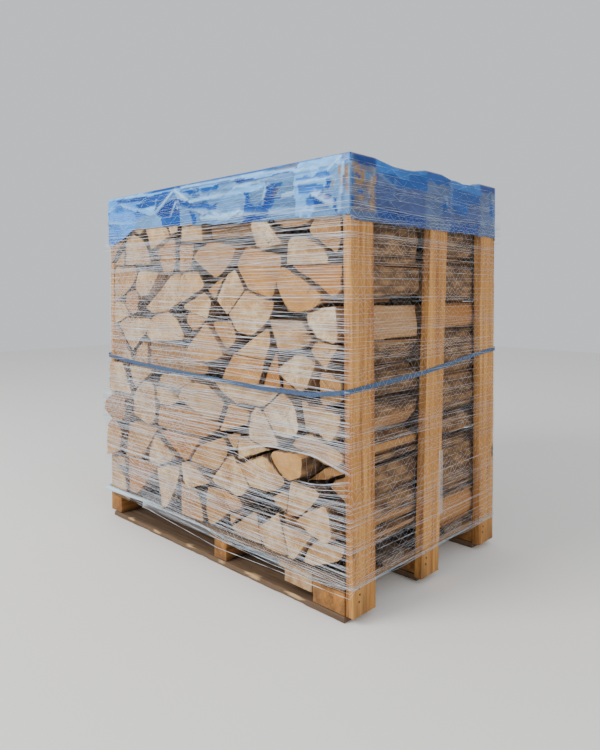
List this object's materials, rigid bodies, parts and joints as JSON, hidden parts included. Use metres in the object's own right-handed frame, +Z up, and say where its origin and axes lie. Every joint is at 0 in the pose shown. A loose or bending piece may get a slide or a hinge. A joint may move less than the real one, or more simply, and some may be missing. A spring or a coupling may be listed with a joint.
{
  "type": "pallet of firewood",
  "caption": "Split firewood logs stacked in two rows on a wooden pallet between upright posts, under a blue film top and wound in stretch net.",
  "frame": {"origin": "on the ground under the middle of the pallet", "axes": "+Z up, +X along the long side that shows the log ends, towards the viewer's right, and the front of the stack faces -Y"},
  "size_m": [1.265, 0.8966, 1.2664],
  "materials": {
    "split_firewood": "sawn log ends with split sides and bark, dry and matt",
    "weathered_pallet_wood": "weathered sawn pallet boards, grey brown",
    "sawn_post_wood": "rough sawn softwood, warm brown",
    "fresh_offcut_wood": "fresh sawn softwood, pale",
    "blue_film": "thin blue polyethylene film, wrinkled",
    "grey_strap": "embossed blue grey plastic strap",
    "white_net": "stretched white polyethylene net"
  },
  "bodies": {
    "root": {"binding_strap": "grey_strap", "blue_film_cover": "blue_film", "firewood_back_course_1_left": "split_firewood", "firewood_back_course_1_right": "split_firewood", "firewood_back_course_2_left": "split_firewood", "firewood_back_course_2_right": "split_firewood", "firewood_back_course_3_left": "split_firewood", "firewood_back_course_3_right": "split_firewood", "firewood_back_course_4_left": "split_firewood", "firewood_back_course_4_right": "split_firewood", "firewood_back_course_5_left": "split_firewood", "firewood_back_course_5_right": "split_firewood", "firewood_back_course_6_left": "split_firewood", "firewood_back_course_6_right": "split_firewood", "firewood_front_course_1_left": "split_firewood", "firewood_front_course_1_right": "split_firewood", "firewood_front_course_2_left": "split_firewood", "firewood_front_course_2_right": "split_firewood", "firewood_front_course_3_left": "split_firewood", "firewood_front_course_3_right": "split_firewood", "firewood_front_course_4_left": "split_firewood", "firewood_front_course_4_right": "split_firewood", "firewood_front_course_5_left": "split_firewood", "firewood_front_course_5_right": "split_firewood", "firewood_front_course_6_left": "split_firewood", "firewood_front_course_6_right": "split_firewood", "pallet_block_back_left": "weathered_pallet_wood", "pallet_block_back_middle": "weathered_pallet_wood", "pallet_block_back_right": "weathered_pallet_wood", "pallet_block_front_left": "weathered_pallet_wood", "pallet_block_front_middle": "weathered_pallet_wood", "pallet_block_front_right": "weathered_pallet_wood", "pallet_block_middle_left": "weathered_pallet_wood", "pallet_block_middle_middle": "weathered_pallet_wood", "pallet_block_middle_right": "weathered_pallet_wood", "pallet_bottom_board_back": "weathered_pallet_wood", "pallet_bottom_board_front": "weathered_pallet_wood", "pallet_bottom_board_middle": "weathered_pallet_wood", "pallet_cross_board_extra": "fresh_offcut_wood", "pallet_cross_board_left": "weathered_pallet_wood", "pallet_cross_board_middle": "weathered_pallet_wood", "pallet_cross_board_right": "weathered_pallet_wood", "pallet_deck_board_1": "weathered_pallet_wood", "pallet_deck_board_2": "weathered_pallet_wood", "pallet_deck_board_3": "weathered_pallet_wood", "pallet_deck_board_4": "weathered_pallet_wood", "pallet_deck_board_5": "weathered_pallet_wood", "pallet_offcut_block": "fresh_offcut_wood", "post_left_back": "sawn_post_wood", "post_left_front": "sawn_post_wood", "post_left_middle": "sawn_post_wood", "post_right_back": "sawn_post_wood", "post_right_front": "sawn_post_wood", "post_right_middle": "sawn_post_wood", "stretch_net": "white_net", "top_batten_back": "sawn_post_wood", "top_batten_front": "sawn_post_wood", "top_batten_middle": "sawn_post_wood"}
  },
  "joints": []
}
